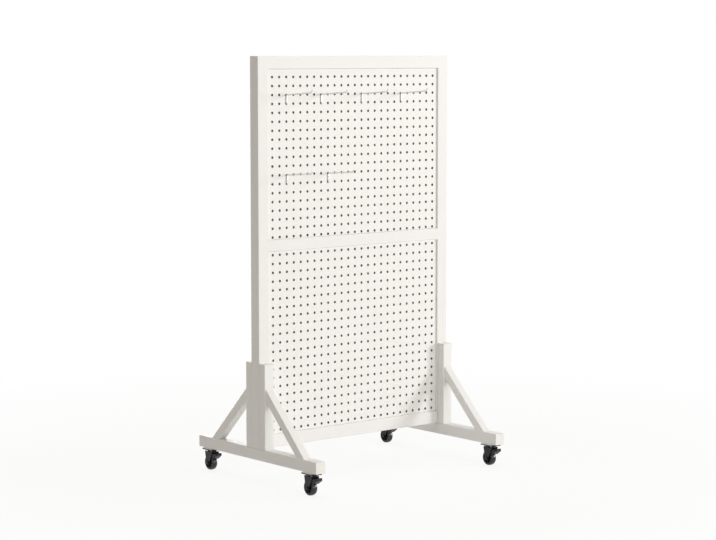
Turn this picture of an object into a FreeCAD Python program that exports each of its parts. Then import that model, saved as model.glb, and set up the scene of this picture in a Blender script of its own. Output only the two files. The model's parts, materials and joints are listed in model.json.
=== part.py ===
import FreeCAD, Part
import os
from math import atan2, cos, degrees, radians, sin, sqrt, tan

V = FreeCAD.Vector

# Rolling pegboard display with a closed back, in millimetres.
# X runs along the board, -Y is its front, Z is up, and the origin is on the floor under the middle.

# Pegboard sheets
pitch = 30.0
columns = 25
upper_rows = 19
lower_rows = 21
rows_behind_rail = 1
hole_d = 9.0
sheet_t = 1.2
flange_depth = 12.0
panel_recess = 6.0
panel_gap = 0.8

# Outer frame of square tube, with the distance from the outermost holes to the tubes round each sheet
frame_tube = 44.0
frame_wall = 1.5
tube_corner = 2.5
side_margin = 21.0
top_margin = 26.5
above_rail_margin = 7.5
below_rail_margin = 12.5
bottom_margin = 13.0
ledger_width = 12.0

# Legs
leg_tube = 40.0
leg_wall = 1.5
beam_height = 40.0
beam_length = 660.0
post_depth = 31.0
post_height = 292.0
brace_tube = 30.0
brace_rise = 207.0
cap_lip = 2.5
cap_plug = 14.0
cap_plug_wall = 2.0
cap_clear = 0.2

# Bolts that hold each upright to its rear post
bolt_d = 8.0
bolt_hole_d = 8.8
bolt_head_d = 15.0
bolt_head_h = 4.4
bolt_heights = (120.0, 258.0)
nut_width = 13.0
nut_height = 6.5
bolt_past_nut = 3.0

# Casters
wheel_d = 54.0
tread_width = 20.0
tread_round = 4.5
hub_d = 41.0
hub_rim_t = 3.0
hub_web_t = 6.0
hub_boss_d = 14.0
hub_ribs = 6
hub_rib_t = 2.4
hub_rib_sunk = 1.2
axle_d = 6.0
caster_inset = 48.0
caster_height = 76.0
caster_trail = 6.0
pad_length = 46.0
pad_t = 4.0
plate_width = 42.0
plate_length = 66.0
plate_t = 3.0
plate_corner = 6.0
screw_spacing_x = 26.0
screw_spacing_y = 34.0
screw_d = 5.0
screw_head_d = 8.4
screw_head_h = 2.6
screw_past_pad = 4.0
screw_clear = 0.3
race_d = 33.0
race_height = 5.0
kingpin_d = 10.0
kingpin_head_d = 17.0
kingpin_head_h = 2.5
fork_sheet = 2.0
fork_gap = 26.0
fork_reach = 21.0
fork_shoulder = 4.0
fork_bend = 3.0
axle_boss_r = 8.0
axle_head_d = 11.0
axle_head_h = 3.6
running_clear = 0.05
seat_clear = 0.02
head_clear = 0.3

# Brake pedal of each caster: its pivot and tip from the swivel axis at floor level
pedal_pivot_y = -9.0
pedal_pivot_z = 57.0
pedal_pin_d = 5.0
pedal_boss_r = 5.0
pedal_tip_y = -43.0
pedal_tip_z = 65.0
pedal_tip_t = 8.0
pedal_tip_corner = 5.0
pedal_neck_z = 60.0
pedal_shoe_drop = 15.0
pedal_tab_width = 26.0
pedal_grips = 3
pedal_grip_pitch = 6.0
pedal_grip_width = 2.4
pedal_grip_t = 1.0
pedal_side_clear = 0.6
pedal_throw = 10.0
shoe_clear = 0.3

# Wire hooks: the hole that carries each one, as column and row from the front's upper left
upper_hook_columns = (2, 7, 13, 19)
upper_hook_row = 2
lower_hook_columns = (2, 8)
lower_hook_row = 11
wire_d = 4.4
leg_wire_d = 4.0
wire_bend = 3.6
wire_clear = 0.4
hook_leg = 13.0
hook_reach = 130.0
hook_rise = 4.0
hook_tip = 10.0
hook_tip_turn = 55.0
stub_past_sheet = 2.0

# Levels and widths that follow
beam_bottom = caster_height + pad_t
frame_bottom = beam_bottom + beam_height
opening_bottom = frame_bottom + frame_tube
bottom_row_z = opening_bottom + bottom_margin
rail_bottom = bottom_row_z + (lower_rows - 1) * pitch + below_rail_margin
row_above_rail_z = bottom_row_z + (lower_rows - 1 + rows_behind_rail + 1) * pitch
rail_top = row_above_rail_z - above_rail_margin
top_row_z = row_above_rail_z + (upper_rows - 1) * pitch
opening_top = top_row_z + top_margin
frame_top = opening_top + frame_tube
grid_half = (columns - 1) * pitch / 2
opening_half = grid_half + side_margin
frame_half = opening_half + frame_tube
frame_face = frame_tube / 2
sheet_face = frame_face - panel_recess
flange_back = sheet_face - flange_depth
post_face = frame_face + post_depth
leg_centre = frame_half - leg_tube / 2
caster_y = beam_length / 2 - caster_inset
plate_bottom = caster_height - plate_t
crown_top = plate_bottom - race_height
crown_bottom = crown_top - fork_sheet
axle_z = wheel_d / 2
cheek_outer = fork_gap / 2 + fork_sheet
wire_r = wire_d / 2

X_AXIS = V(1, 0, 0)
Y_AXIS = V(0, 1, 0)
Z_AXIS = V(0, 0, 1)
OVERCUT = 5.0
TOUCH = 0.01
ALONG = 0.999


def block(low, high):
    """A plain box between two opposite corners."""
    size = V(*high) - V(*low)
    return Part.makeBox(size.x, size.y, size.z, V(*low))


def edges_along(shape, axis):
    """The straight edges of a shape that run along an axis."""
    lines = [e for e in shape.Edges if isinstance(e.Curve, Part.Line)]
    return [e for e in lines if abs(e.tangentAt(e.FirstParameter).dot(axis)) > ALONG]


def bar(low, high, axis, radius):
    """A box whose long edges are rounded."""
    box = block(low, high)
    return box.makeFillet(radius, edges_along(box, axis))


def tube(low, high, axis, wall):
    """A rectangular tube along an axis, open at both ends."""
    inset = V(wall, wall, wall) - axis * (wall + OVERCUT)
    inner = bar(V(*low) + inset, V(*high) - inset, axis, tube_corner - wall)
    return bar(low, high, axis, tube_corner).cut(inner)


def rod(diameter, start, end):
    """A round rod between two points."""
    run = V(*end) - V(*start)
    return Part.makeCylinder(diameter / 2, run.Length, V(*start), run)


def prism(points, half_width):
    """A closed outline in the YZ plane, given as (y, z), extruded both ways along X."""
    corners = [V(-half_width, y, z) for y, z in points]
    face = Part.Face(Part.makePolygon(corners + corners[:1]))
    return face.extrude(X_AXIS * (2 * half_width))


def spun(points):
    """A closed outline of (radius, height along X) revolved about the X axis."""
    corners = [V(x, 0, r) for r, x in points]
    face = Part.Face(Part.makePolygon(corners + corners[:1]))
    return face.revolve(V(0, 0, 0), X_AXIS, 360)


def mirrored(shape, normal):
    """The shape on the other side of the middle plane with the given normal."""
    return shape.mirror(V(0, 0, 0), normal)


def save(name, shape):
    """Write one node, after a check that each of its solids holds material."""
    assert shape.Solids and all(solid.Volume > 0 for solid in shape.Solids), name
    shape.exportStep("parts/%s.step" % name)
    print("%-24s solids %2d  volume %10.1f" % (name, len(shape.Solids), shape.Volume))


def save_group(name, shapes):
    """Write several separate solids as one node."""
    save(name, Part.makeCompound(shapes))


# Frame tubes, mitred at the upper corners

def corner_wedge(side, above):
    """The half of an upper corner that belongs to the rail (above) or to the upright."""
    outer = side * frame_half
    inner = side * opening_half
    spare = V(inner, 0, frame_top) if above else V(outer, 0, opening_top)
    corners = [V(outer, 0, frame_top), spare, V(inner, 0, opening_top)]
    wedge = Part.Face(Part.makePolygon(corners + corners[:1])).extrude(Y_AXIS * frame_tube)
    wedge.translate(V(0, -frame_face, 0))
    return wedge


def upright(side):
    """One side tube of the frame, with bolt holes in its rear wall."""
    low_x, high_x = sorted((side * opening_half, side * frame_half))
    low = (low_x, -frame_face, frame_bottom)
    body = tube(low, (high_x, frame_face, frame_top), Z_AXIS, frame_wall)
    body = body.cut(corner_wedge(side, True))
    return body.cut(bolt_holes(side, frame_face - frame_wall, frame_face))


def rail(low_z, high_z):
    """A level tube that fits between the uprights."""
    low = (-opening_half, -frame_face, low_z)
    return tube(low, (opening_half, frame_face, high_z), X_AXIS, frame_wall)


def top_rail():
    """The upper tube over the full width, mitred to meet both uprights."""
    low = (-frame_half, -frame_face, opening_top)
    body = tube(low, (frame_half, frame_face, frame_top), X_AXIS, frame_wall)
    return body.cut(corner_wedge(-1, False)).cut(corner_wedge(1, False))


def bolt_holes(side, near_y, far_y):
    """The cutters for the bolts of one leg between two depths."""
    x = side * leg_centre
    heights = [frame_bottom + h for h in bolt_heights]
    holes = [rod(bolt_hole_d, (x, near_y - OVERCUT, z), (x, far_y + OVERCUT, z)) for z in heights]
    return Part.makeCompound(holes)


# Perforated sheets with return flanges, and the ledgers that carry them

def hole_x(column):
    return -grid_half + column * pitch


def panel(low_z, high_z, first_row_z, rows):
    """A front sheet for one opening, with its rows of round holes and a flange on all four sides."""
    half = opening_half - panel_gap
    low = low_z + panel_gap
    high = high_z - panel_gap
    corners = [V(-half, 0, low), V(half, 0, low), V(half, 0, high), V(-half, 0, high)]
    rim = Part.makePolygon(corners + corners[:1])
    centres = [V(hole_x(c), 0, first_row_z + r * pitch) for c in range(columns) for r in range(rows)]
    circles = [Part.Wire(Part.makeCircle(hole_d / 2, centre, Y_AXIS)) for centre in centres]
    sheet = Part.Face([rim] + circles).extrude(Y_AXIS * sheet_t)
    sheet.translate(V(0, -sheet_face, 0))
    flange = block((-half, -sheet_face + sheet_t, low), (half, -flange_back, high))
    inside = V(sheet_t, 0, sheet_t)
    start = V(-half, -sheet_face, low) + inside
    end = V(half, -flange_back + OVERCUT, high) - inside
    return sheet.fuse(flange.cut(block(start, end))).removeSplitter()


def ledgers(low_z, high_z):
    """Four flat bars round the inside of one opening, between the front and rear flanges."""
    inner = opening_half - ledger_width
    levels = [(low_z, low_z + ledger_width), (high_z - ledger_width, high_z)]
    sides = [(-opening_half, -inner), (inner, opening_half)]
    bars = [block((-opening_half, -flange_back, a), (opening_half, flange_back, b)) for a, b in levels]
    upper = high_z - ledger_width
    lower = low_z + ledger_width
    return bars + [block((a, -flange_back, lower), (b, flange_back, upper)) for a, b in sides]


# Legs

def screw_places():
    """The four screw centres of one caster plate from its middle, as (x, y)."""
    return [(i * screw_spacing_x / 2, j * screw_spacing_y / 2) for i in (-1, 1) for j in (-1, 1)]


def foot_beam(side):
    """The tube that lies front to back under one upright, with clearance holes for the caster screws."""
    half = beam_length / 2 - cap_lip
    low = V(side * leg_centre - leg_tube / 2, -half, beam_bottom)
    body = tube(low, low + V(leg_tube, 2 * half, beam_height), Y_AXIS, leg_wall)
    wide = screw_d + 2 * screw_clear
    for end in (-1, 1):
        for from_x, from_y in screw_places():
            x = side * leg_centre + from_x
            y = end * caster_y + from_y
            body = body.cut(rod(wide, (x, y, beam_bottom - OVERCUT), (x, y, beam_bottom + OVERCUT)))
    return body


def post(side):
    """The rear stub post that stands on the beam behind the upright."""
    low = V(side * leg_centre - leg_tube / 2, frame_face, frame_bottom)
    return tube(low, low + V(leg_tube, post_depth, post_height - cap_lip), Z_AXIS, leg_wall)


def brace(side):
    """The rear diagonal from the post down to the beam, cut to lie on both."""
    half = brace_tube / 2
    reach = brace_rise * sqrt(2)
    body = tube((-half, -half, -reach), (half, half, reach), Z_AXIS, leg_wall)
    body.rotate(V(0, 0, 0), X_AXIS, 45)
    inward = half * sqrt(2)
    body.translate(V(side * leg_centre, post_face, frame_bottom + brace_rise - inward))
    near = V(side * leg_centre - brace_tube, post_face, frame_bottom)
    return body.common(block(near, near + V(2 * brace_tube, 2 * brace_rise, 2 * brace_rise)))


def plug(low, high, axis, into):
    """A cap that closes a tube's end: a lip the size of the tube, and a hollow plug inside it."""
    lip = bar(low, high, axis, tube_corner)
    cross = V(1, 1, 1) - axis
    inset = cross * (leg_wall + cap_clear)
    start = V(*low) + inset
    end = V(*high) - inset
    depth = axis * (cap_plug * into)
    if into > 0:
        start, end = start + axis * cap_lip, end + depth
    else:
        start, end = start + depth, end - axis * cap_lip
    core = cross * cap_plug_wall
    return lip.fuse(bar(start, end, axis, tube_corner - leg_wall).cut(block(start + core, end - core)))


def beam_cap(side):
    """The cap on the rear end of one foot beam."""
    low = V(side * leg_centre - leg_tube / 2, beam_length / 2 - cap_lip, beam_bottom)
    return plug(low, low + V(leg_tube, cap_lip, beam_height), Y_AXIS, -1)


def post_cap(side):
    """The cap on top of one rear post."""
    low = V(side * leg_centre - leg_tube / 2, frame_face, frame_bottom + post_height - cap_lip)
    return plug(low, low + V(leg_tube, post_depth, cap_lip), Z_AXIS, -1)


def leg_bolt(side, height):
    """A domed bolt from the rear face of the post into the upright."""
    x = side * leg_centre
    z = frame_bottom + height
    tip = frame_face - frame_wall - nut_height - bolt_past_nut
    radius = (bolt_head_d ** 2 / 4 + bolt_head_h ** 2) / (2 * bolt_head_h)
    ball = Part.makeSphere(radius, V(x, post_face + bolt_head_h - radius, z))
    head = ball.common(rod(bolt_head_d, (x, post_face, z), (x, post_face + bolt_head_h, z)))
    return head.fuse(rod(bolt_d, (x, tip, z), (x, post_face, z)))


def hexagon(across, centre, axis, height):
    """A six-sided prism with the given width across flats."""
    corner = across / 2 / cos(radians(30))
    ring = [V(corner * cos(radians(60 * i)), corner * sin(radians(60 * i)), 0) for i in range(7)]
    body = Part.Face(Part.makePolygon(ring)).extrude(Z_AXIS * height)
    body.Placement = FreeCAD.Placement(V(*centre), FreeCAD.Rotation(Z_AXIS, axis))
    return body


def leg_nut(side, height):
    """A nut welded behind the rear wall of the upright."""
    x = side * leg_centre
    z = frame_bottom + height
    wall = frame_face - frame_wall
    body = hexagon(nut_width, (x, wall - nut_height, z), Y_AXIS, nut_height)
    return body.cut(rod(bolt_d + 2 * seat_clear, (x, wall - nut_height, z), (x, wall, z)))


# Casters, modelled about the swivel axis at floor level and then moved into place

def caster_pad():
    """The welded pad between the beam and the plate, tapped for the screws."""
    low = V(-leg_tube / 2, -pad_length / 2, caster_height)
    body = block(low, low + V(leg_tube, pad_length, pad_t))
    return drill_screws(body, screw_d + 2 * seat_clear)


def drill_screws(body, diameter):
    """Four screw holes through a flat piece of the caster mount."""
    for x, y in screw_places():
        body = body.cut(rod(diameter, (x, y, plate_bottom - OVERCUT), (x, y, beam_bottom + OVERCUT)))
    return body


def caster_plate():
    """The top plate, longer than it is wide, with the kingpin through its middle."""
    high = V(plate_width / 2, plate_length / 2, caster_height)
    body = bar((-high.x, -high.y, plate_bottom), high, Z_AXIS, plate_corner)
    body = body.cut(rod(kingpin_d + 2 * seat_clear, (0, 0, 0), (0, 0, beam_bottom)))
    return drill_screws(body, screw_d + 2 * screw_clear)


def caster_screws():
    """The four pan head screws of one plate."""
    tip = beam_bottom + screw_past_pad
    screws = []
    for x, y in screw_places():
        head = rod(screw_head_d, (x, y, plate_bottom - screw_head_h), (x, y, plate_bottom))
        screws.append(head.fuse(rod(screw_d, (x, y, plate_bottom), (x, y, tip))))
    return screws


def swivel_race():
    """The ball race cup under the plate, on which the fork's crown turns."""
    cup = Part.makeCone(race_d / 2 - race_height / 2, race_d / 2, race_height, V(0, 0, crown_top))
    return cup.cut(rod(kingpin_d + 2 * seat_clear, (0, 0, 0), (0, 0, beam_bottom)))


def kingpin():
    """The rivet that holds the fork up to the plate and lets it swivel."""
    head_top = crown_bottom - head_clear
    head_base = head_top - kingpin_head_h
    head = rod(kingpin_head_d, (0, 0, head_base), (0, 0, head_top))
    return head.fuse(rod(kingpin_d, (0, 0, head_top), (0, 0, caster_height)))


def tangent_point(start, centre, radius, side):
    """Where a line from a point touches a circle, both as (y, z); side picks one of the two tangents."""
    run_y = centre[0] - start[0]
    run_z = centre[1] - start[1]
    reach = sqrt(run_y ** 2 + run_z ** 2 - radius ** 2)
    turn = atan2(run_z, run_y) + side * atan2(radius, reach)
    return (start[0] + reach * cos(turn), start[1] + reach * sin(turn))


def fork():
    """A pressed fork: a crown, and two cheeks that taper to the axle bosses."""
    boss = (caster_trail, axle_z)
    front_corner = (-fork_reach, crown_top - fork_shoulder)
    rear_corner = (fork_reach, crown_top - fork_shoulder)
    outline = [tangent_point(front_corner, boss, axle_boss_r, -1), front_corner, (-fork_reach, crown_top)]
    outline += [(fork_reach, crown_top), rear_corner, tangent_point(rear_corner, boss, axle_boss_r, 1)]
    points = [V(-cheek_outer, y, z) for y, z in outline]
    edges = [Part.LineSegment(a, b).toShape() for a, b in zip(points, points[1:])]
    bottom = V(-cheek_outer, caster_trail, axle_z - axle_boss_r)
    edges.append(Part.Arc(points[-1], bottom, points[0]).toShape())
    body = Part.Face(Part.Wire(edges)).extrude(X_AXIS * (2 * cheek_outer))
    bends = [e for e in edges_along(body, Y_AXIS) if abs(e.CenterOfMass.z - crown_top) < TOUCH]
    body = body.makeFillet(fork_bend, bends)
    body = body.cut(block((-fork_gap / 2, -wheel_d, 0), (fork_gap / 2, wheel_d, crown_bottom)))
    body = body.cut(rod(kingpin_d + 2 * running_clear, (0, 0, 0), (0, 0, beam_bottom)))
    wide = cheek_outer + OVERCUT
    for y, z, d in ((caster_trail, axle_z, axle_d + 2 * seat_clear),
                    (pedal_pivot_y, pedal_pivot_z, pedal_pin_d + 2 * running_clear)):
        body = body.cut(rod(d, (-wide, y, z), (wide, y, z)))
    return body


def axle():
    """The axle bolt with its head on one cheek and its nut on the other."""
    body = rod(axle_d, (-cheek_outer, 0, 0), (cheek_outer, 0, 0))
    for side in (-1, 1):
        body = body.fuse(hexagon(axle_head_d, (side * cheek_outer, 0, 0), V(side, 0, 0), axle_head_h))
    body.translate(V(0, caster_trail, axle_z))
    return body


def tread():
    """The tyre of the wheel, with round shoulders."""
    half = tread_width / 2
    ring = rod(wheel_d, (-half, 0, 0), (half, 0, 0))
    ring = ring.makeFillet(tread_round, [e for e in ring.Edges if e.isClosed()])
    ring = ring.cut(rod(hub_d, (-half, 0, 0), (half, 0, 0)))
    ring.translate(V(0, caster_trail, axle_z))
    return ring


def hub():
    """The wheel's core: a rim, a ribbed web and a long boss that runs on the axle."""
    rim_half = tread_width / 2
    boss_half = fork_gap / 2 - head_clear
    web_half = hub_web_t / 2
    rim_r = hub_d / 2
    web_r = rim_r - hub_rim_t
    boss_r = hub_boss_d / 2
    bore = axle_d / 2 + running_clear
    outline = [(bore, -boss_half), (boss_r, -boss_half), (boss_r, -web_half), (web_r, -web_half)]
    outline += [(web_r, -rim_half), (rim_r, -rim_half)]
    outline += [(r, -x) for r, x in reversed(outline)]
    body = spun(outline)
    rib_half = rim_half - hub_rib_sunk
    rib_start = (bore + boss_r) / 2
    rib_end = (web_r + rim_r) / 2
    rib = block((-rib_half, -hub_rib_t / 2, rib_start), (rib_half, hub_rib_t / 2, rib_end))
    for number in range(hub_ribs):
        spoke = rib.copy()
        spoke.rotate(V(0, 0, 0), X_AXIS, 360 * number / hub_ribs)
        body = body.fuse(spoke)
    body = body.removeSplitter()
    body.translate(V(0, caster_trail, axle_z))
    return body


def brake_pedal():
    """A moulded lever on two stub pins, with a shoe that meets the tread when the tab is trodden down."""
    inner_half = fork_gap / 2 - pedal_side_clear
    boss_top = pedal_pivot_z + pedal_boss_r
    shoe_z = pedal_pivot_z - pedal_shoe_drop
    neck_y = -fork_reach - pedal_side_clear
    rear_y = pedal_pivot_y + pedal_boss_r
    neck_top = (neck_y, pedal_neck_z)
    neck_low = (neck_y, shoe_z)
    tip = (pedal_tip_y, pedal_tip_z)
    tab = prism([neck_top, tip, (pedal_tip_y, pedal_tip_z - pedal_tip_t), neck_low], pedal_tab_width / 2)
    tip_edges = [e for e in edges_along(tab, Z_AXIS) if e.CenterOfMass.y < neck_y - pedal_tip_corner]
    tab = tab.makeFillet(pedal_tip_corner, tip_edges)
    for number in range(pedal_grips):
        tab = tab.fuse(pedal_grip(neck_top, tip, number))
    crest = [(rear_y, pedal_pivot_z), (pedal_pivot_y + pedal_boss_r / 2, boss_top)]
    crest.append((pedal_pivot_y - pedal_boss_r / 2, boss_top))
    arm = prism(crest + [neck_top, neck_low, (rear_y, shoe_z)], inner_half)
    pivot = V(0, pedal_pivot_y, pedal_pivot_z)
    hub_line = V(0, caster_trail, axle_z)
    body = tab.fuse(arm)
    for press in (0, pedal_throw / 2, pedal_throw):
        swept = rod(wheel_d + 2 * shoe_clear, hub_line - X_AXIS * fork_gap, hub_line + X_AXIS * fork_gap)
        swept.rotate(pivot, X_AXIS, -press)
        body = body.cut(swept)
    pin = rod(pedal_pin_d, pivot - X_AXIS * cheek_outer, pivot + X_AXIS * cheek_outer)
    return body.fuse(pin).removeSplitter()


def pedal_grip(neck, tip, number):
    """One raised bar across the top of the tab, counted back from its tip."""
    run = V(0, tip[0] - neck[0], tip[1] - neck[1])
    along = V(run).normalize()
    upward = along.cross(X_AXIS)
    centre = V(0, *tip) - along * (pedal_grip_pitch * (number + 1))
    half = along * (pedal_grip_width / 2)
    low = centre - upward * pedal_grip_t
    high = centre + upward * pedal_grip_t
    corners = [low - half, low + half, high + half / 2, high - half / 2]
    return prism([(corner.y, corner.z) for corner in corners], pedal_tab_width / 2 - pedal_tip_corner)


# Wire hooks, modelled about the centre of the upper hole in the middle of the sheet

def bent_wire(points, diameter):
    """A round wire along straight runs in the YZ plane, with tangent bends and a round far end."""
    runs = [(b - a).normalize() for a, b in zip(points, points[1:])]
    pieces = []
    start = points[0]
    for corner, before, after in zip(points[1:-1], runs, runs[1:]):
        turn = before.getAngle(after)
        cut = wire_bend * tan(turn / 2)
        first = corner - before * cut
        axis = before.cross(after).normalize()
        inward = axis.cross(before)
        section = Part.Face(Part.Wire(Part.makeCircle(diameter / 2, first, before)))
        pieces.append(rod(diameter, start, first))
        pieces.append(section.revolve(first + inward * wire_bend, axis, degrees(turn)))
        start = corner + after * cut
    pieces.append(rod(diameter, start, points[-1]))
    pieces.append(Part.makeSphere(diameter / 2, points[-1], runs[-1], 0, 90, 360))
    return pieces[0].multiFuse(pieces[1:]).removeSplitter()


def hook():
    """A peg hook: a leg up behind the sheet, a rising arm with an upturned tip, and a stub one hole down."""
    rear = sheet_t / 2 + wire_clear + wire_r
    front = -rear
    rise = radians(hook_rise)
    turned = radians(hook_rise + hook_tip_turn)
    knee = V(0, front - wire_bend, 0)
    end = knee + V(0, -cos(rise), sin(rise)) * hook_reach
    tip = end + V(0, -cos(turned), sin(turned)) * hook_tip
    arm = bent_wire([V(0, rear, hook_leg), V(0, rear, 0), knee, end, tip], wire_d)
    stub = V(0, sheet_t / 2 + stub_past_sheet, -pitch)
    leg = bent_wire([V(0, front, 0), V(0, front, -pitch), stub], leg_wire_d)
    return arm.fuse(leg).removeSplitter()


def placed(shape, *place):
    """A copy of a shape moved to its place."""
    copy = shape.copy()
    copy.translate(V(*place))
    return copy


os.makedirs("parts", exist_ok=True)

save("left_upright", upright(-1))
save("right_upright", upright(1))
save("top_rail", top_rail())
save("mid_rail", rail(rail_bottom, rail_top))
save("bottom_rail", rail(frame_bottom, opening_bottom))

openings = {"upper": (rail_top, opening_top, row_above_rail_z, upper_rows),
            "lower": (opening_bottom, rail_bottom, bottom_row_z, lower_rows)}
for level, (low_z, high_z, first_row_z, rows) in openings.items():
    plain_panel = panel(low_z, high_z, first_row_z, 0)
    save("front_%s_panel" % level, panel(low_z, high_z, first_row_z, rows))
    save("rear_%s_panel" % level, mirrored(plain_panel, Y_AXIS))
    save_group("%s_ledgers" % level, ledgers(low_z, high_z))

SIDES = {"left": -1, "right": 1}
for name, side in SIDES.items():
    save("%s_foot_beam" % name, foot_beam(side))
    rear_post = post(side)
    save("%s_front_post" % name, mirrored(rear_post, Y_AXIS))
    save("%s_rear_post" % name, rear_post.cut(bolt_holes(side, frame_face, post_face)))
    rear_brace = brace(side)
    save("%s_front_brace" % name, mirrored(rear_brace, Y_AXIS))
    save("%s_rear_brace" % name, rear_brace)

beam_caps = [beam_cap(side) for side in SIDES.values()]
save_group("beam_end_caps", beam_caps + [mirrored(cap, Y_AXIS) for cap in beam_caps])
post_caps = [post_cap(side) for side in SIDES.values()]
save_group("post_caps", post_caps + [mirrored(cap, Y_AXIS) for cap in post_caps])
save_group("leg_bolts", [leg_bolt(side, h) for side in SIDES.values() for h in bolt_heights])
save_group("leg_nuts", [leg_nut(side, h) for side in SIDES.values() for h in bolt_heights])

ENDS = {"front": -1, "rear": 1}
stations = {"%s_%s" % (end, side): (SIDES[side] * leg_centre, ENDS[end] * caster_y, 0)
            for end in ENDS for side in SIDES}
mounting = {"caster_pads": [caster_pad()], "caster_plates": [caster_plate()],
            "caster_screws": caster_screws(), "swivel_races": [swivel_race()], "kingpins": [kingpin()]}
for name, pieces in mounting.items():
    save_group(name, [placed(piece, *place) for place in stations.values() for piece in pieces])
moving = {"fork": fork(), "axle": axle(), "tread": tread(), "hub": hub(), "brake_pedal": brake_pedal()}
for station, place in stations.items():
    for name, piece in moving.items():
        save("%s_%s" % (station, name), placed(piece, *place))

wire_hook = hook()
hook_rows = {"upper": (upper_hook_columns, upper_hook_row), "lower": (lower_hook_columns, lower_hook_row)}
for level, (hook_columns, row) in hook_rows.items():
    for number, column in enumerate(hook_columns, 1):
        place = (hole_x(column), -sheet_face + sheet_t / 2, top_row_z - row * pitch)
        save("%s_hook_%d" % (level, number), placed(wire_hook, *place))
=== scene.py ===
# %% [markdown]
# # A rolling pegboard display
# The display is a pegboard with a closed back in a square tube frame. It stands on two braced T-shaped
# legs with four braked casters, and six wire hooks hang in its front. The engineering solids are already
# packed, in metres, with the floor at zero. This lesson dresses them: first the picture's camera, then
# one finish for each material, the pieces that deserve a finer mesh than the solids, and the light.

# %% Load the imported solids
import json
from math import cos, pi, radians, sin, sqrt, tan

import bmesh
import bpy
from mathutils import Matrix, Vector


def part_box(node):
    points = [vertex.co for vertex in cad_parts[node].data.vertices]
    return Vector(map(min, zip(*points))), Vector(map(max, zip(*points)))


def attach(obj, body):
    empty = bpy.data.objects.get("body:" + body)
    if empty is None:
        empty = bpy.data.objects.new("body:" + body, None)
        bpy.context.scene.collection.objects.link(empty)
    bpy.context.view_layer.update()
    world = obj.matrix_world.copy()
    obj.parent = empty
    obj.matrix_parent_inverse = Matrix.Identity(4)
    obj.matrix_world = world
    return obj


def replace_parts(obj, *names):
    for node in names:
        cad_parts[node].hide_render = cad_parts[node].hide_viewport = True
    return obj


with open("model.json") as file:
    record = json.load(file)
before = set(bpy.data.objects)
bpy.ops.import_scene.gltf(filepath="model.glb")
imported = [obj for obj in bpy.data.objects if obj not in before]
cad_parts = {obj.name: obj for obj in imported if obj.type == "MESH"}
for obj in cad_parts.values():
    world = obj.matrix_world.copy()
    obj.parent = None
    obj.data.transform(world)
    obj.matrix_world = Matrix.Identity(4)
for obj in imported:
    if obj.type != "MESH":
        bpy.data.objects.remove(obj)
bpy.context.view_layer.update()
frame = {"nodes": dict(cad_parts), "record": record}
nodes = frame["nodes"]
scene = bpy.context.scene
MM = 0.001

# %% [markdown]
# ## The camera
# The pegboard's own grid of holes gives the viewpoint: its rows and columns run to two vanishing
# points, and those fix the lens and the place. The camera stands a little above the top rail, to the
# left of the board, and looks slightly down. A long lens keeps the uprights almost parallel.

# %% Camera
PHOTO_WIDTH = 716
FOCAL_PIXELS = 2095.7
TURN, TILT = radians(39.617), radians(-5.915)
STANDPOINT = (-4.6370, -5.6347, 1.4579)
FAR_LIMIT = 100.0

eye = bpy.data.cameras.new("viewpoint")
eye.sensor_width = 36.0
eye.lens = FOCAL_PIXELS / PHOTO_WIDTH * eye.sensor_width
eye.clip_end = FAR_LIMIT
camera = bpy.data.objects.new("viewpoint", eye)
camera.location = STANDPOINT
camera.rotation_euler = (pi / 2 + TILT, 0.0, -TURN)
scene.collection.objects.link(camera)
scene.camera = camera
scene.view_settings.view_transform = "Standard"
print("lens", round(eye.lens, 2), "mm")

# %% [markdown]
# ## Writing shaders as sums
# A finish is a small calculation: so much of this noise, less of that one. Wired by hand it becomes a
# web of boxes. Here a socket is wrapped in a class that knows Python's operators instead, and `1 - mask`
# adds the Math node by itself.

# %% A socket that can be calculated with
class Flow:
    """The output of a node. Sums and products with it add Math nodes."""

    def __init__(self, finish, socket):
        self.finish = finish
        self.socket = socket

    def maths(self, operation, first, second):
        return self.finish.node("ShaderNodeMath", {"operation": operation}, {0: first, 1: second})

    def __add__(self, other):
        return self.maths("ADD", self, other)

    def __sub__(self, other):
        return self.maths("SUBTRACT", self, other)

    def __rsub__(self, other):
        return self.maths("SUBTRACT", other, self)

    def __mul__(self, other):
        return self.maths("MULTIPLY", self, other)

    __radd__ = __add__
    __rmul__ = __mul__


print("a flow can be added, subtracted and multiplied")

# %% [markdown]
# ## One way to make a node
# Every other node comes from one method, which sets the node's own options first and then its sockets,
# with a link where the value is a flow. The few nodes that return in almost every finish get a short
# method with a maker's name. Ready-made node groups would do this too, but they hide the numbers.

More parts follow.
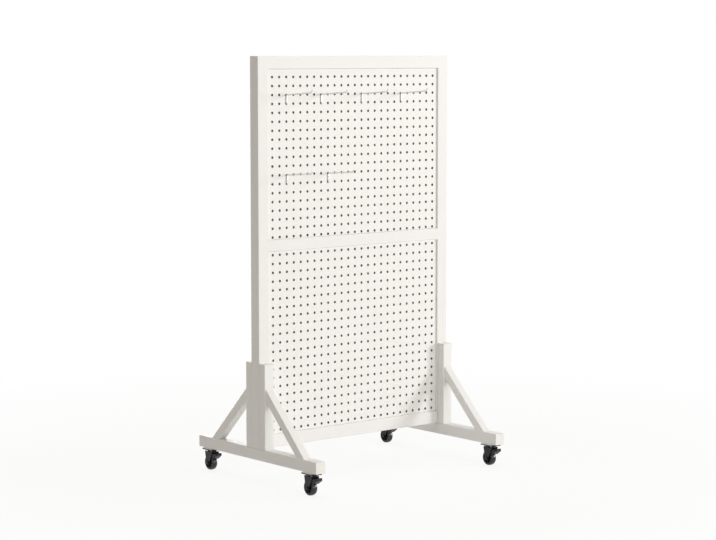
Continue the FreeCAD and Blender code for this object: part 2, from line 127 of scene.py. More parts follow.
# %% A node tree that is filled one node at a time
class Finish:
    """The node tree of a material or of the world, which is its owner."""

    def __init__(self, owner):
        self.owner = owner
        owner.use_nodes = True
        self.tree = owner.node_tree
        self.tree.nodes.clear()

    def node(self, kind, options=None, inputs=None, output=0):
        made = self.tree.nodes.new(kind)
        for name, value in (options or {}).items():
            if name == "stops":
                for stop, (place, level) in zip(made.color_ramp.elements, value):
                    stop.position = place
                    stop.color = (level, level, level, 1.0)
            else:
                setattr(made, name, value)
        for name, value in (inputs or {}).items():
            if isinstance(value, Flow):
                self.tree.links.new(value.socket, made.inputs[name])
            else:
                made.inputs[name].default_value = value
        return Flow(self, made.outputs[output]) if made.outputs else None

    def place(self):
        """Where a point is on its piece, in metres."""
        return self.node("ShaderNodeTexCoord", output="Object")

    def along(self, where, axis):
        """One coordinate of a place."""
        return self.node("ShaderNodeSeparateXYZ", {}, {"Vector": where}, output=axis)

    def stretched(self, where, factors):
        """A place with each coordinate times its own factor. A small factor draws a pattern out."""
        return self.node("ShaderNodeVectorMath", {"operation": "MULTIPLY"}, {0: where, 1: factors})

    def length(self, where):
        """The distance of a place from its origin."""
        return self.node("ShaderNodeVectorMath", {"operation": "LENGTH"}, {0: where}, output="Value")

    def noise(self, where, size, detail=2.0, roughness=0.5):
        """Soft random values from 0 to 1, in lumps about as large as size, in metres."""
        return self.node("ShaderNodeTexNoise", {}, {"Vector": where, "Scale": 1.0 / size,
                                                    "Detail": detail, "Roughness": roughness})

    def step(self, value, low, high):
        """0 below low, 1 above high, and a ramp between them."""
        return self.node("ShaderNodeValToRGB", {"stops": ((low, 0.0), (high, 1.0))}, {"Fac": value})

    def tint(self, mask, first, second):
        """The first colour where the mask is 0 and the second where it is 1."""
        colours = {0: mask, 6: first, 7: second}
        return self.node("ShaderNodeMix", {"data_type": "RGBA"}, colours, output=2)

    def relief(self, height, strength, distance):
        """A normal that makes the surface look raised where height is large."""
        return self.node("ShaderNodeBump", {}, {"Height": height, "Strength": strength,
                                                "Distance": distance})

    def surface(self, **sockets):
        """Ends the tree in a Principled shader. Underscores stand for the spaces in socket names."""
        inputs = {name.replace("_", " "): value for name, value in sockets.items()}
        shader = self.node("ShaderNodeBsdfPrincipled", {}, inputs)
        self.node("ShaderNodeOutputMaterial", {}, {"Surface": shader})
        return self.owner


def new_finish(name):
    return Finish(bpy.data.materials.new(name))


def rgb(red, green, blue):
    return (red, green, blue, 1.0)


def darker(colour, share):
    return rgb(*[channel * share for channel in colour[:3]])


print("shader helpers ready")

# %% [markdown]
# ## Powder coat
# The tubes and sheets are steel with a baked white powder coat. Its tell-tale is orange peel: a gentle
# waviness a millimetre or two across, with a much finer tooth on it. The film is not perfectly even, so
# colour and gloss drift a little over a hand's breadth, and near the floor it collects faint scuffs.
# The holes' walls and the sheets' inner faces get a painted grey shade, which stands for the shade inside
# the hollow board.
# An image could show this, but noise on the piece's own coordinates has no seams and any resolution.

# %% White powder coat for tubes and sheets
PEEL_SIZE, TOOTH_SIZE, FILM_SIZE = 2.2 * MM, 0.35 * MM, 0.12
PEEL_DEPTH = 0.25 * MM
SCUFF_SIZE, SCUFF_STRENGTH = 9 * MM, 0.35
SCUFF_STRETCH = (1.0, 0.18, 1.0)
MOST_SCUFFED, SCUFFED_BELOW = 0.02, 0.16
# Painted shade: the grey that stands for the shade inside the hollow board, its band and its soft edge.
HOLLOW_SHADE = rgb(0.42, 0.42, 0.42)
SHADE_WITHIN = 15.5 * MM
SHADE_EDGE = 0.001


def powder_coat(name, colour, gloss, shade_within=0.0):
    """White coat. Nearer to the board's middle plane than the last argument, in metres, it turns a painted
    grey shade.
    """
    finish = new_finish(name)
    where = finish.place()
    peel = finish.noise(where, PEEL_SIZE, detail=1.0)
    tooth = finish.noise(where, TOOTH_SIZE, detail=1.0)
    film = finish.noise(where, FILM_SIZE, detail=3.0)
    near_floor = 1.0 - finish.step(finish.along(where, "Z"), MOST_SCUFFED, SCUFFED_BELOW)
    scratches = finish.stretched(where, SCUFF_STRETCH)
    scuffs = finish.step(finish.noise(scratches, SCUFF_SIZE, detail=6.0, roughness=0.7), 0.66, 0.74)
    marks = scuffs * near_floor * SCUFF_STRENGTH
    coat = finish.tint(finish.step(film, 0.35, 0.65), darker(colour, 0.985), colour)
    # Painted shade: near the board's middle plane the coat turns grey, for the shade in the holes and behind
    # the sheets.
    if shade_within:
        distance = finish.node("ShaderNodeMath", {"operation": "ABSOLUTE"}, {0: finish.along(where, "Y")})
        # The limit is brought to the middle of the ramp, which only runs from 0 to 1.
        reached = finish.step(distance * (0.5 / shade_within), 0.5 - SHADE_EDGE, 0.5 + SHADE_EDGE)
        coat = finish.tint(reached, HOLLOW_SHADE, coat)
    return finish.surface(
        Base_Color=finish.tint(marks, coat, darker(colour, 0.62)),
        Roughness=gloss + film * 0.10 + tooth * 0.06 + marks * 0.2,
        Normal=finish.relief(peel * 0.8 + tooth * 0.2, 0.10, PEEL_DEPTH))


white_coat = powder_coat("white_coat", rgb(0.862, 0.860, 0.852), 0.34)
panel_coat = powder_coat("panel_coat", rgb(0.878, 0.876, 0.866), 0.36, SHADE_WITHIN)
print(white_coat.name, panel_coat.name)

# %% [markdown]
# ## Moulded plastic
# The caps are white polypropylene, and the hubs and pedals are black nylon. Both come from a spark-eroded
# mould, so they carry a fine even grain, and their colour is even but for a slow drift from the melt's
# flow. One function makes both, because only colour, gloss and grain differ.

# %% White and black plastic
MELT_FLOW = 20 * MM
GRAIN_DEPTH = 0.12 * MM


def moulded(name, colour, gloss, grain, shine):
    finish = new_finish(name)
    where = finish.place()
    fine = finish.noise(where, grain)
    flow = finish.noise(where, MELT_FLOW)
    return finish.surface(
        Base_Color=finish.tint(flow, darker(colour, 0.93), colour),
        Roughness=gloss + fine * 0.12 + flow * 0.05,
        Specular_IOR_Level=shine,
        Normal=finish.relief(fine, 0.12, GRAIN_DEPTH))


white_plastic = moulded("white_plastic", rgb(0.86, 0.85, 0.82), 0.42, 0.6 * MM, 0.5)
black_plastic = moulded("black_plastic", rgb(0.012, 0.012, 0.013), 0.34, 0.5 * MM, 0.3)
print(white_plastic.name, black_plastic.name)

# %% [markdown]
# ## Dipped black steel
# The casters' plates and forks are dipped in a black paint that shines more than the plastic. It runs
# smooth but not flat, and a little dust settles on it. The dust is lighter and duller than the paint, so
# the same mask changes colour and roughness together.

# %% Dipped steel of the casters
DIP_WAVE, DIP_DEPTH = 1.6 * MM, 0.15 * MM
DIP_DUST_SIZE, DIP_DUST = 0.8 * MM, rgb(0.05, 0.048, 0.045)


def dipped_steel(name, colour):
    finish = new_finish(name)
    where = finish.place()
    wave = finish.noise(where, DIP_WAVE)
    dust = finish.step(finish.noise(where, DIP_DUST_SIZE, detail=3.0), 0.62, 0.75)
    return finish.surface(
        Base_Color=finish.tint(dust * 0.35, colour, DIP_DUST),
        Roughness=0.26 + wave * 0.12 + dust * 0.2,
        Specular_IOR_Level=0.3,
        Normal=finish.relief(wave, 0.14, DIP_DEPTH))


black_coat = dipped_steel("black_coat", rgb(0.014, 0.014, 0.015))
print(black_coat.name)

# %% [markdown]
# ## Tyre rubber
# The tyres are a smooth black rubber that picks up dust where it rolls. The finish knows the tread by its
# distance from the axle, which is the length of the place with its sideways part taken out. A painted
# mask would need an unwrapped mesh, and this needs none.

# %% Rubber with a dusty tread
WHEEL_R = 27 * MM
RUBBER, TYRE_DUST = rgb(0.011, 0.011, 0.012), rgb(0.06, 0.058, 0.055)
SPECK_SIZE, RUBBER_GRAIN, RUBBER_DEPTH = 1.1 * MM, 0.5 * MM, 0.10 * MM


def tyre_rubber(name, wheel_radius):
    finish = new_finish(name)
    where = finish.place()
    from_axle = finish.length(finish.stretched(where, (0, 1, 1)))
    rolling = finish.step(from_axle * (1 / wheel_radius), 0.95, 0.995)
    specks = finish.step(finish.noise(where, SPECK_SIZE, detail=4.0, roughness=0.65), 0.52, 0.70)
    dust = specks * (0.10 + rolling * 0.25)
    fine = finish.noise(where, RUBBER_GRAIN)
    return finish.surface(
        Base_Color=finish.tint(dust, RUBBER, TYRE_DUST),
        Roughness=0.14 + fine * 0.08 + dust * 0.3,
        Specular_IOR_Level=0.5,
        Normal=finish.relief(fine, 0.12, RUBBER_DEPTH))


black_rubber = tyre_rubber("black_rubber", WHEEL_R)
print(black_rubber.name)

# %% [markdown]
# ## Bright metal
# The hooks are drawn wire with a bright nickel plate, and the bolts are zinc plated. Drawing leaves faint
# streaks along the wire. Zinc shows soft cloudy patches. Both are fully metallic, so their colour is the
# colour of their reflection, and the streaks and patches mostly change the roughness.

# %% Plated wire and zinc
PLATE_DEPTH = 0.05 * MM
DRAWN_OUT, ALL_WAYS = (1.0, 0.04, 1.0), (1.0, 1.0, 1.0)


def plated(name, colour, gloss, stretch, size):
    finish = new_finish(name)
    streaks = finish.noise(finish.stretched(finish.place(), stretch), size, detail=3.0)
    return finish.surface(
        Base_Color=finish.tint(streaks, darker(colour, 0.86), colour),
        Metallic=1.0,
        Roughness=gloss + streaks * 0.16,
        Normal=finish.relief(streaks, 0.06, PLATE_DEPTH))


bright_wire = plated("bright_wire", rgb(0.74, 0.74, 0.73), 0.16, DRAWN_OUT, 0.6 * MM)
zinc_steel = plated("zinc_steel", rgb(0.60, 0.61, 0.61), 0.24, ALL_WAYS, 3.5 * MM)
print(bright_wire.name, zinc_steel.name)

# %% [markdown]
# ## Dressing the solids
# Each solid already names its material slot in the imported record, so one loop gives every node its
# finish. Nodes that get a finer mesh later keep this finish as well.

# %% Give every node the finish of its slot
finishes = {"white_coat": white_coat, "panel_coat": panel_coat, "white_plastic": white_plastic,
            "black_plastic": black_plastic, "black_coat": black_coat, "black_rubber": black_rubber,
            "bright_wire": bright_wire, "zinc_steel": zinc_steel}
slot_of = {part["node"]: part["material_slot"] for part in frame["record"]["subparts"]}
body_of = {node: body for body, members in frame["record"]["behaviour"]["bodies"].items()
           for node in members}
for name, node in nodes.items():
    node.data.materials.clear()
    node.data.materials.append(finishes[slot_of[name]])
print({slot: list(slot_of.values()).count(slot) for slot in finishes})

# %% [markdown]
# ## New pieces
# A finer piece is a mesh in the same frame. It belongs to one node, rides on that node's body and takes
# that node's slot, so one helper does all three. Shading is smooth up to a given angle, and weighted
# normals keep flat faces flat beside their rounded edges.

# %% Helpers for pieces
def new_piece(name, mesh, node, origin=(0, 0, 0), smooth_to=40.0):
    """Puts a mesh in the scene with the body, slot and finish of a node."""
    piece = bpy.data.objects.new(name, mesh)
    piece.location = origin
    scene.collection.objects.link(piece)
    mesh.materials.append(finishes[slot_of[node]])
    mesh.polygons.foreach_set("use_smooth", [True] * len(mesh.polygons))
    mesh.set_sharp_from_angle(angle=radians(smooth_to))
    weighted = piece.modifiers.new("flat_faces", "WEIGHTED_NORMAL")
    weighted.keep_sharp = True
    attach(piece, body_of[node])
    return piece


def mesh_from(name, points, faces):
    mesh = bpy.data.meshes.new(name)
    mesh.from_pydata(points, [], faces)
    mesh.validate()
    return mesh


def joined(parts):
    """The points and faces of several parts as one list each."""
    points, faces = [], []
    for part_points, part_faces in parts:
        faces += [tuple(i + len(points) for i in face) for face in part_faces]
        points += part_points
    return points, faces


def turn_outward(mesh):
    """Makes all faces look outward, and counts the edges that a hole in the skin would leave open."""
    work = bmesh.new()
    work.from_mesh(mesh)
    bmesh.ops.recalc_face_normals(work, faces=work.faces)
    open_edges = sum(edge.is_boundary for edge in work.edges)
    work.to_mesh(mesh)
    work.free()
    return open_edges


print("piece helpers ready")

# %% [markdown]
# ## One punched hole
# A pegboard sheet is punched, and the punch rolls the front rim of each hole a little. Booleans with a
# thousand cylinders would be slow and leave long thin faces, so the sheet is built hole by hole. Each
# hole owns a rectangle of sheet, and rings of points lead from that rectangle over the rolled rim and
# through to the back.

# %% Rings of a hole and its rectangle of sheet
HOLE_R, RIM_R, SHEET_T = 4.5 * MM, 0.5 * MM, 1.2 * MM
HOLE_STEPS = 24
HOLE_TURNS = [radians(360 * i / HOLE_STEPS) for i in range(HOLE_STEPS)]
RIM_TURNS = [radians(angle) for angle in (0, 30, 60, 90)]


def hole_rings():
    """The rings of one hole as (radius, depth), from the flat front to the flat back."""
    rim = [(HOLE_R + RIM_R * (1 - sin(t)), RIM_R * (1 - cos(t))) for t in RIM_TURNS]
    return rim + [(HOLE_R, SHEET_T)]


def strips(centres, low, high):
    """Lower and upper limit of the strip of sheet that belongs to each row or column of holes."""
    middles = [(a + b) / 2 for a, b in zip(centres, centres[1:])]
    return list(zip([low] + middles, middles + [high]))


def part_way(centre, share, limits):
    """A share of the way from a hole's centre to its upper limit, or below 0 to its lower one."""
    low, high = limits
    return centre + share * ((high - centre) if share > 0 else (centre - low))


def rectangle(x, z, strip_x, strip_z):
    """Points round a hole's rectangle, one for each turn, so that neighbours have the same ones."""
    points = []
    for turn in HOLE_TURNS:
        reach = max(abs(cos(turn)), abs(sin(turn)))
        points.append((part_way(x, cos(turn) / reach, strip_x), part_way(z, sin(turn) / reach, strip_z)))
    return points


print("rings of a hole", [(round(r / MM, 2), round(d / MM, 2)) for r, d in hole_rings()])

# %% [markdown]
# ## The bent edge
# The sheet's four edges are bent back into flanges with a small radius. The bend is a profile of offsets,
# outward and back, and the sheet's border is pushed out by each of them in turn. At a corner both
# directions push, which mitres it. The coat on edge and frame nearly closes the gap between them.

# %% Profile of the bend and points along a side
BEND_R, BEND_STEPS = 1.3 * MM, 4
EDGE_COAT = 0.75 * MM
SIDE_SHARES = [tan(radians(angle)) for angle in (-45, -30, -15, 0, 15, 30)]
SAME_PLACE = 1e-7


def bend_profile(depth):
    """Offsets outward and back, from the flat front round the bend and down the flange to the back."""
    turns = [pi / 2 * i / BEND_STEPS for i in range(1, BEND_STEPS + 1)]
    outer = [(BEND_R * sin(t), BEND_R * (1 - cos(t))) for t in turns]
    inner_r = BEND_R - SHEET_T
    inner = [(inner_r * sin(t), SHEET_T + inner_r * (1 - cos(t))) for t in reversed(turns)]
    return outer + [(BEND_R, depth), (inner_r, depth)] + inner


def side_marks(centres, limits):
    """The places that the holes' rectangles have along one side of the sheet."""
    return [part_way(centre, share, limit) for centre, limit in zip(centres, limits)
            for share in SIDE_SHARES]


def push(place, low, high, out):
    """Moves a coordinate outward if it is on one of its two limits."""
    return place + out * ((place >= high - SAME_PLACE) - (place <= low + SAME_PLACE))


print("steps in a bend", BEND_STEPS, "points on a rectangle's side", len(SIDE_SHARES))

# %% [markdown]
# ## Perforated front sheets
# Holes and bends meet at shared points, so the skin has no open edge and could be printed or cast. A
# table of the places that are already in use finds them. Merging by distance afterwards would also work,
# but it is slower here and may merge points of a fine rim.

# %% Perforated front sheets
HOLE_PITCH, COLUMNS = 30 * MM, 25
PER_METRE = 1e6
FRONT_SHEETS = {"upper": (0.837, 19), "lower": (0.177, 21)}  # height of the lowest row, number of rows


class Skin:
    """A mesh in the making, in which equal places share one point."""

    def __init__(self, front_y):
        self.front_y = front_y
        self.points, self.faces, self.found = [], [], {}

    def point(self, x, back, z):
        key = tuple(round(value * PER_METRE) for value in (x, back, z))
        if key not in self.found:
            self.found[key] = len(self.points)
            self.points.append((x, self.front_y + back, z))
        return self.found[key]

    def ring(self, places, back):
        return [self.point(x, back, z) for x, z in places]

    def close(self, rings):
        """Joins each ring of points to the next one by a strip of faces."""
        for ring, following in zip(rings, rings[1:]):
            for i in range(len(ring)):
                j = (i + 1) % len(ring)
                self.faces.append((ring[i], ring[j], following[j], following[i]))


def perforated_sheet(name, node, first_z, rows):
    low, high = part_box(node)
    half_x = high.x + EDGE_COAT - BEND_R
    low_z, high_z = low.z - EDGE_COAT + BEND_R, high.z + EDGE_COAT - BEND_R
    xs = [(c - (COLUMNS - 1) / 2) * HOLE_PITCH for c in range(COLUMNS)]
    zs = [first_z + r * HOLE_PITCH for r in range(rows)]
    strips_x, strips_z = strips(xs, -half_x, half_x), strips(zs, low_z, high_z)
    skin = Skin(low.y)
    for x, strip_x in zip(xs, strips_x):
        for z, strip_z in zip(zs, strips_z):
            outline = rectangle(x, z, strip_x, strip_z)
            rings = [skin.ring(outline, 0.0)]
            for radius, back in hole_rings():
                circle = [(x + radius * cos(t), z + radius * sin(t)) for t in HOLE_TURNS]
                rings.append(skin.ring(circle, back))
            skin.close(rings + [skin.ring(outline, SHEET_T)])
    side_x, side_z = side_marks(xs, strips_x), side_marks(zs, strips_z)
    border = [(x, low_z) for x in side_x] + [(half_x, z) for z in side_z]
    border += [(-x, high_z) for x in side_x]
    border += [(-half_x, z) for z in [high_z] + list(reversed(side_z[1:]))]
    rings = [skin.ring(border, 0.0)]
    for out, back in bend_profile(high.y - low.y):
        bent = [(push(x, -half_x, half_x, out), push(z, low_z, high_z, out)) for x, z in border]
        rings.append(skin.ring(bent, back))
    skin.close(rings + [skin.ring(border, SHEET_T)])
    mesh = mesh_from(name, skin.points, skin.faces)
    open_edges = turn_outward(mesh)
    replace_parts(new_piece(name, mesh, node), node)
    print(name, "faces", len(mesh.polygons), "open edges", open_edges)


for level, (first_z, rows) in FRONT_SHEETS.items():
    perforated_sheet("front_%s_sheet" % level, "front_%s_panel" % level, first_z, rows)

# %% [markdown]
# ## Tyres
# Each wheel has a rubber tyre with round shoulders and a slightly domed tread, and a thin ridge runs round
# its middle where the two halves of the mould met. A lathe makes it: the half section is drawn once as
# width and radius, then turned about the axle. The mesh is kept about the wheel's own centre, because
# the rubber's finish measures its distance from there.

# %% Tyres turned on a lathe
TYRE_BORE = 20.5 * MM
SHOULDER_R, CROWN_R = 4.5 * MM, 40 * MM
SHOULDER_TURNS = [radians(15 * i) for i in range(6)]
TREAD_SHARES = (1.0, 0.75, 0.5, 0.25)
RIDGE_HALF, RIDGE_H = 0.5 * MM, 0.25 * MM
LATHE_STEPS = 96
STATIONS = ("front_left", "front_right", "rear_left", "rear_right")


def tyre_section(half_width, radius):
    """The section as (x, radius), from the left bore over the tread to the right bore."""
    tread = half_width - SHOULDER_R

    def crown(x):
        return radius - RIDGE_H - x * x / (2 * CROWN_R)

    left = [(-half_width, TYRE_BORE)]
    left += [(-tread - SHOULDER_R * cos(t), crown(tread) - SHOULDER_R * (1 - sin(t)))
             for t in SHOULDER_TURNS]
    left += [(-tread * share, crown(tread * share)) for share in TREAD_SHARES]
    left += [(-RIDGE_HALF, crown(RIDGE_HALF)), (-RIDGE_HALF / 2, radius)]
    return left + [(-x, r) for x, r in reversed(left)]


def turned(name, section, steps):
    """A closed section of (x, radius) turned about the X axis."""
    points = [(x, r * cos(2 * pi * i / steps), r * sin(2 * pi * i / steps))
              for i in range(steps) for x, r in section]
    size = len(section)
    faces = [(i * size + j, i * size + (j + 1) % size,
              (i + 1) % steps * size + (j + 1) % size, (i + 1) % steps * size + j)
             for i in range(steps) for j in range(size)]
    return mesh_from(name, points, faces)


for station in STATIONS:
    name, node = station + "_tyre", station + "_tread"
    low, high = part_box(node)
    section = tyre_section((high.x - low.x) / 2, (high.z - low.z) / 2)
    tyre = new_piece(name, turned(name, section, LATHE_STEPS), node, origin=(low + high) / 2)
    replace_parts(tyre, node)
print("tyres", len(STATIONS), "points in a section", len(section))

# %% [markdown]
# ## Softened edges
# A press, a mould and a dip all leave small round edges, and an edge without one catches no light. For
# the plain rear sheets, forks, plates, hubs, pedals and caps the solid's own mesh is copied, its triangles
# are merged into flat faces, and only the crisp edges are bevelled. A bevel modifier would do the same,
# but it would also cut the seams between triangles.

# %% Softened copies of pressed and moulded pieces
SAME_POINT = 0.005 * MM
FLAT, CRISP = radians(0.5), radians(35)
BEVEL_STEPS = 2


def softened(node, edge):
    work = bmesh.new()
    work.from_mesh(nodes[node].data)
    work.transform(nodes[node].matrix_world)
    bmesh.ops.remove_doubles(work, verts=work.verts, dist=SAME_POINT)
    bmesh.ops.dissolve_limit(work, angle_limit=FLAT, verts=work.verts, edges=work.edges)
    crisp = [e for e in work.edges if len(e.link_faces) == 2 and e.calc_face_angle() > CRISP]
    bmesh.ops.bevel(work, geom=crisp, offset=edge, segments=BEVEL_STEPS, profile=0.5, affect="EDGES",
                    clamp_overlap=True)
    mesh = bpy.data.meshes.new(node + "_soft")
    work.to_mesh(mesh)
    work.free()
    piece = new_piece(node + "_soft", mesh, node)
    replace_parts(piece, node)
    return piece


soft_edges = {"rear_upper_panel": 0.5 * MM, "rear_lower_panel": 0.5 * MM, "caster_plates": 0.5 * MM,
              "caster_pads": 0.6 * MM, "swivel_races": 0.4 * MM, "beam_end_caps": 0.5 * MM,
              "post_caps": 0.5 * MM, "caster_screws": 0.5 * MM}
for station in STATIONS:
    soft_edges.update({station + "_fork": 0.45 * MM, station + "_axle": 0.5 * MM,
                       station + "_hub": 0.35 * MM, station + "_brake_pedal": 0.6 * MM})
for node, edge in soft_edges.items():
    piece = softened(node, edge)
print("softened", len(soft_edges), "pieces, last with", len(piece.data.polygons), "faces")

# %% [markdown]
# ## Leg bolts
# Two domed bolts hold each upright to its rear post. The key fits a hexagonal socket, so the dome's rings
# blend from a circle into a hexagon and then drop to the socket's floor. Cutting the socket with a
# boolean would leave slivers in the dome.

# %% Domed bolts with a hexagonal socket
HEAD_R, HEAD_H, SHANK_R = 7.5 * MM, 4.4 * MM, 4.0 * MM
TIP_SHARE, TIP_LENGTH = 0.8, 0.8 * MM
SOCKET_FLATS, SOCKET_DEPTH = 5.0 * MM, 2.6 * MM
LIP_H, LIP_WIDTH = 0.2 * MM, 0.3 * MM
DOME_RINGS = (7.5 * MM, 6.9 * MM, 5.8 * MM, 4.6 * MM, 3.5 * MM)
BOLT_STEPS = 48
BOLT_TURNS = [2 * pi * i / BOLT_STEPS for i in range(BOLT_STEPS)]


def round_ring(radius, out):
    return [Vector((radius * cos(t), out, radius * sin(t))) for t in BOLT_TURNS]


def hex_ring(flats, out):
    """The same turns on a hexagon, whose sides are flats apart."""
    reach = [flats / 2 / cos((t + pi / 6) % (pi / 3) - pi / 6) for t in BOLT_TURNS]
    return [Vector((r * cos(t), out, r * sin(t))) for r, t in zip(reach, BOLT_TURNS)]


def bolt_rings(tip):
    """Rings from the shank's tip over the domed head to the socket's floor."""
    ball = (HEAD_R ** 2 + HEAD_H ** 2) / (2 * HEAD_H)
    heights = [sqrt(ball ** 2 - r ** 2) - (ball - HEAD_H) for r in DOME_RINGS]
    lip, key_flats = heights[-1] + LIP_H, SOCKET_FLATS - LIP_WIDTH
    shank = [round_ring(TIP_SHARE * SHANK_R, tip), round_ring(SHANK_R, tip + TIP_LENGTH),
             round_ring(SHANK_R, 0.0)]
    dome = [round_ring(r, height) for r, height in zip(DOME_RINGS, heights)]
    socket = [hex_ring(SOCKET_FLATS, lip), hex_ring(key_flats, lip - LIP_H),
              hex_ring(key_flats, lip - SOCKET_DEPTH)]
    return shank + dome + socket


def bolt(seat, tip):
    """Points and faces of one bolt, whose head rests on the seat."""
    rings = bolt_rings(tip)
    starts = [k * BOLT_STEPS for k in range(len(rings))]
    steps = [(i, (i + 1) % BOLT_STEPS) for i in range(BOLT_STEPS)]
    faces = [(a + i, b + i, b + j, a + j) for a, b in zip(starts, starts[1:]) for i, j in steps]
    faces += [tuple(range(BOLT_STEPS)),
              tuple(range(starts[-1] + BOLT_STEPS - 1, starts[-1] - 1, -1))]
    return [seat + place for ring in rings for place in ring], faces


low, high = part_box("leg_bolts")
post_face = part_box("left_rear_post")[1].y
points, faces = joined(bolt(Vector((x, post_face, z)), low.y - post_face)
                       for x in (low.x + HEAD_R, high.x - HEAD_R)
                       for z in (low.z + HEAD_R, high.z - HEAD_R))
bolts = new_piece("socket_bolts", mesh_from("socket_bolts", points, faces), "leg_bolts")
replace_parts(bolts, "leg_bolts")
print("bolt faces", len(faces))

# %% [markdown]
# ## Weld beads
# The braces and posts are welded before the coat goes on. Under the coat each seam is a low bead with
# ripples, one for every drop of the weld. A bead is a thin tube whose radius rises and falls along
# the seam, half sunk in the corner between the two pieces. A bump in the finish would show the ripples,
# but not the bead's outline.

# %% One rippled bead
BEAD_R, RIPPLE, RIPPLE_SHARE = 1.9 * MM, 2.2 * MM, 0.12
BEAD_SIDES, STEPS_PER_RIPPLE, FEWEST_STEPS = 8, 6, 8
END_SHARE, END_LENGTH = 0.25, 1.5 * MM


def bead(start, end):
    """Points and faces of one straight bead between two places."""
    start, end = Vector(start), Vector(end)
    along = end - start
    across = along.orthogonal().normalized()
    upward = along.normalized().cross(across)
    count = max(FEWEST_STEPS, round(along.length / RIPPLE * STEPS_PER_RIPPLE))
    points, faces = [], []
    for i in range(count + 1):
        share = i / count
        ends = min(1.0, END_SHARE + min(share, 1 - share) * along.length / END_LENGTH)
        radius = BEAD_R * ends * (1 + RIPPLE_SHARE * abs(sin(pi * share * along.length / RIPPLE)))
        for side in range(BEAD_SIDES):
            turn = 2 * pi * side / BEAD_SIDES
            points.append(start + along * share + (across * cos(turn) + upward * sin(turn)) * radius)
    for i in range(count):
        for side in range(BEAD_SIDES):
            a, b = i * BEAD_SIDES + side, i * BEAD_SIDES + (side + 1) % BEAD_SIDES
            faces.append((a, b, b + BEAD_SIDES, a + BEAD_SIDES))
    last = count * BEAD_SIDES
    faces += [tuple(range(BEAD_SIDES - 1, -1, -1)), tuple(range(last, last + BEAD_SIDES))]
    return points, faces


print("points in a bead of 40 mm", len(bead((0, 0, 0), (40 * MM, 0, 0))[0]))

# %% [markdown]
# ## Where the beads run
# A welder goes round the foot and the head of each brace and across the foot of its post. The seams follow
# from the boxes of brace and post: the brace rises at 45 degrees, so its slanted ends are its width times
# the square root of two. Beads placed by hand would be left behind when a size changes.

# %% Beads on the braces and posts
POST_INSET = 3 * MM


def seams(side, end):
    """The seams of one brace and its post, as pairs of end points."""
    low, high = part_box("%s_%s_brace" % (side, end))
    face, toe, outward = (low.y, high.y, 1) if end == "rear" else (high.y, low.y, -1)
    beam_top, head = low.z, high.z
    slant = (high.x - low.x) * sqrt(2)
    post_low, post_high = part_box("%s_%s_post" % (side, end))
    lines = [((post_low.x + POST_INSET, face, beam_top), (post_high.x - POST_INSET, face, beam_top))]
    for x in (low.x, high.x):
        lines += [((x, face, head - slant), (x, face, head)),
                  ((x, toe - outward * slant, beam_top), (x, toe, beam_top))]
    lines += [((low.x, face, head), (high.x, face, head)), ((low.x, toe, beam_top), (high.x, toe, beam_top))]
    return lines


for side in ("left", "right"):
    for end in ("front", "rear"):
        name = "%s_%s_welds" % (side, end)
        points, faces = joined(bead(start, stop) for start, stop in seams(side, end))
        new_piece(name, mesh_from(name, points, faces), "%s_%s_brace" % (side, end), smooth_to=60.0)
print("weld beads on", name, "faces", len(faces))

# %% [markdown]
# ## Ground seams
# Where a rail meets an upright, the tube's rounded corner would leave a groove. On the real frame the weld
# fills that groove and is ground flush before coating. The filler is a strip along the seam, and its
# section is what a square corner has more than a round one.

# %% Seams ground flush between rails and uprights
TUBE_CORNER, CORNER_STEPS = 2.5 * MM, 6
CORNER_TURNS = [pi / 2 * i / CORNER_STEPS for i in range(CORNER_STEPS + 1)]


def ground_seam(x, y, low_z, high_z):
    """A strip that squares off an upright's rounded corner beside a rail's end at (x, y)."""
    out_x, out_y = (TUBE_CORNER if x > 0 else -TUBE_CORNER), (TUBE_CORNER if y > 0 else -TUBE_CORNER)
    section = [(x, y)] + [(x + out_x * (1 - sin(t)), y - out_y * (1 - cos(t))) for t in CORNER_TURNS]
    count = len(section)
    points = [(u, v, z) for z in (low_z, high_z) for u, v in section]
    faces = [(i, (i + 1) % count, (i + 1) % count + count, i + count) for i in range(count)]
    return points, faces + [tuple(range(count)), tuple(range(2 * count - 1, count - 1, -1))]


strips_to_fill = []
for rail in ("mid_rail", "bottom_rail"):
    low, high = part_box(rail)
    for x in (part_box("left_upright")[1].x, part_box("right_upright")[0].x):
        for y in (low.y, high.y):
            strips_to_fill.append(ground_seam(x, y, low.z + TUBE_CORNER, high.z - TUBE_CORNER))
mesh = mesh_from("rail_seams", *joined(strips_to_fill))
turn_outward(mesh)
new_piece("rail_seams", mesh, "mid_rail")
print("ground seams", len(strips_to_fill), "faces", len(mesh.polygons))

# %% [markdown]
# ## Floor and background
# The display stands on a plain white sweep. The camera sees floor and background as white, while near the
# display a share of the floor stays an ordinary matt surface, so that it keeps the soft shadow. The room
# itself is dim and a little warm, so the left sides fall to about half of the fronts. Stronger lamps would
# whiten the background too, but they would bleach the coat.

# %% Floor and surroundings
FLOOR_SIZE = 14.0
SHADOW_SHARE = 0.12
SHADOW_FULL, SHADOW_GONE = 0.07, 0.18  # distance from the middle, as shares of the floor's size
WHITE, FLOOR_MATT = rgb(1, 1, 1), rgb(0.90, 0.90, 0.90)
ROOM_LIGHT = rgb(0.27, 0.236, 0.19)


def seen_directly(finish):
    """1 for rays that show a surface, in the picture or in a reflection, and 0 for rays that light one."""
    camera_ray, glossy_ray, clear_ray = [
        finish.node("ShaderNodeLightPath", output=ray)
        for ray in ("Is Camera Ray", "Is Glossy Ray", "Is Transmission Ray")]
    return finish.node("ShaderNodeMath", {"operation": "ADD", "use_clamp": True},
                       {0: camera_ray + glossy_ray, 1: clear_ray})


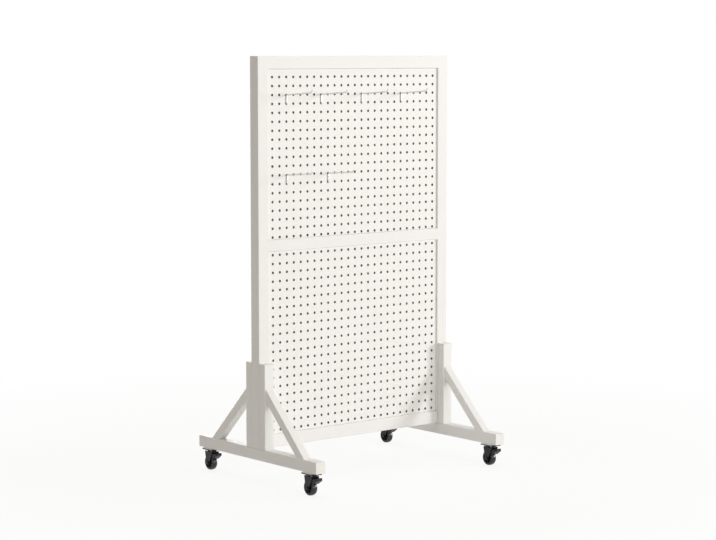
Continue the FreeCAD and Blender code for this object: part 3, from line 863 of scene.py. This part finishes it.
def white_floor():
    finish = new_finish("white_floor")
    matt = finish.node("ShaderNodeBsdfDiffuse", {}, {"Color": FLOOR_MATT})
    white = finish.node("ShaderNodeEmission", {}, {"Color": WHITE, "Strength": 1.0})
    away = finish.length(finish.place()) * (1 / FLOOR_SIZE)
    shadow = (1 - finish.step(away, SHADOW_FULL, SHADOW_GONE)) * SHADOW_SHARE
    share = seen_directly(finish) * (1 - shadow)
    both = finish.node("ShaderNodeMixShader", {}, {0: share, 1: matt, 2: white})
    finish.node("ShaderNodeOutputMaterial", {}, {"Surface": both})
    return finish.owner


def white_room():
    finish = Finish(bpy.data.worlds.new("white_room"))
    shown = finish.tint(seen_directly(finish), ROOM_LIGHT, WHITE)
    sky = finish.node("ShaderNodeBackground", {}, {"Color": shown, "Strength": 1.0})
    finish.node("ShaderNodeOutputWorld", {}, {"Surface": sky})
    return finish.owner


half = FLOOR_SIZE / 2
corners = [(-half, -half, 0), (half, -half, 0), (half, half, 0), (-half, half, 0)]
floor = bpy.data.objects.new("floor", mesh_from("floor", corners, [(0, 1, 2, 3)]))
floor.data.materials.append(white_floor())
scene.collection.objects.link(floor)
scene.world = white_room()
print("floor", FLOOR_SIZE, "m, room light", ROOM_LIGHT[:3])

# %% [markdown]
# ## Light
# Four soft panels light the display. The key from the right throws the braces' shadows on the board, the
# front panel fills them, the overhead panel whitens the beams' tops, and the rear panel keeps the back
# from going grey. They are large and far away, so shadows are soft and the light falls off little. A
# single sun would give hard shadows and one bright side.

# %% Soft panels
MIDDLE = Vector((0.0, 0.0, 0.7))


def soft_panel(name, place, size, power):
    """A lamp of some width and height, in metres, that looks at the middle of the display."""
    lamp = bpy.data.lights.new(name, "AREA")
    lamp.shape = "RECTANGLE"
    lamp.size, lamp.size_y = size
    lamp.energy = power
    holder = bpy.data.objects.new(name, lamp)
    holder.location = place
    holder.rotation_euler = (MIDDLE - Vector(place)).to_track_quat("-Z", "Y").to_euler()
    scene.collection.objects.link(holder)
    print(name, power, "W")


soft_panel("key_panel", (13.4, -11.4, 4.4), (4.5, 5.5), 1310.0)
soft_panel("front_panel", (2.0, -13.0, 1.9), (8.0, 3.0), 420.0)
soft_panel("overhead_panel", (0.0, 0.0, 10.0), (8.0, 8.0), 420.0)
soft_panel("rear_panel", (4.0, 12.5, 1.9), (8.0, 3.0), 650.0)
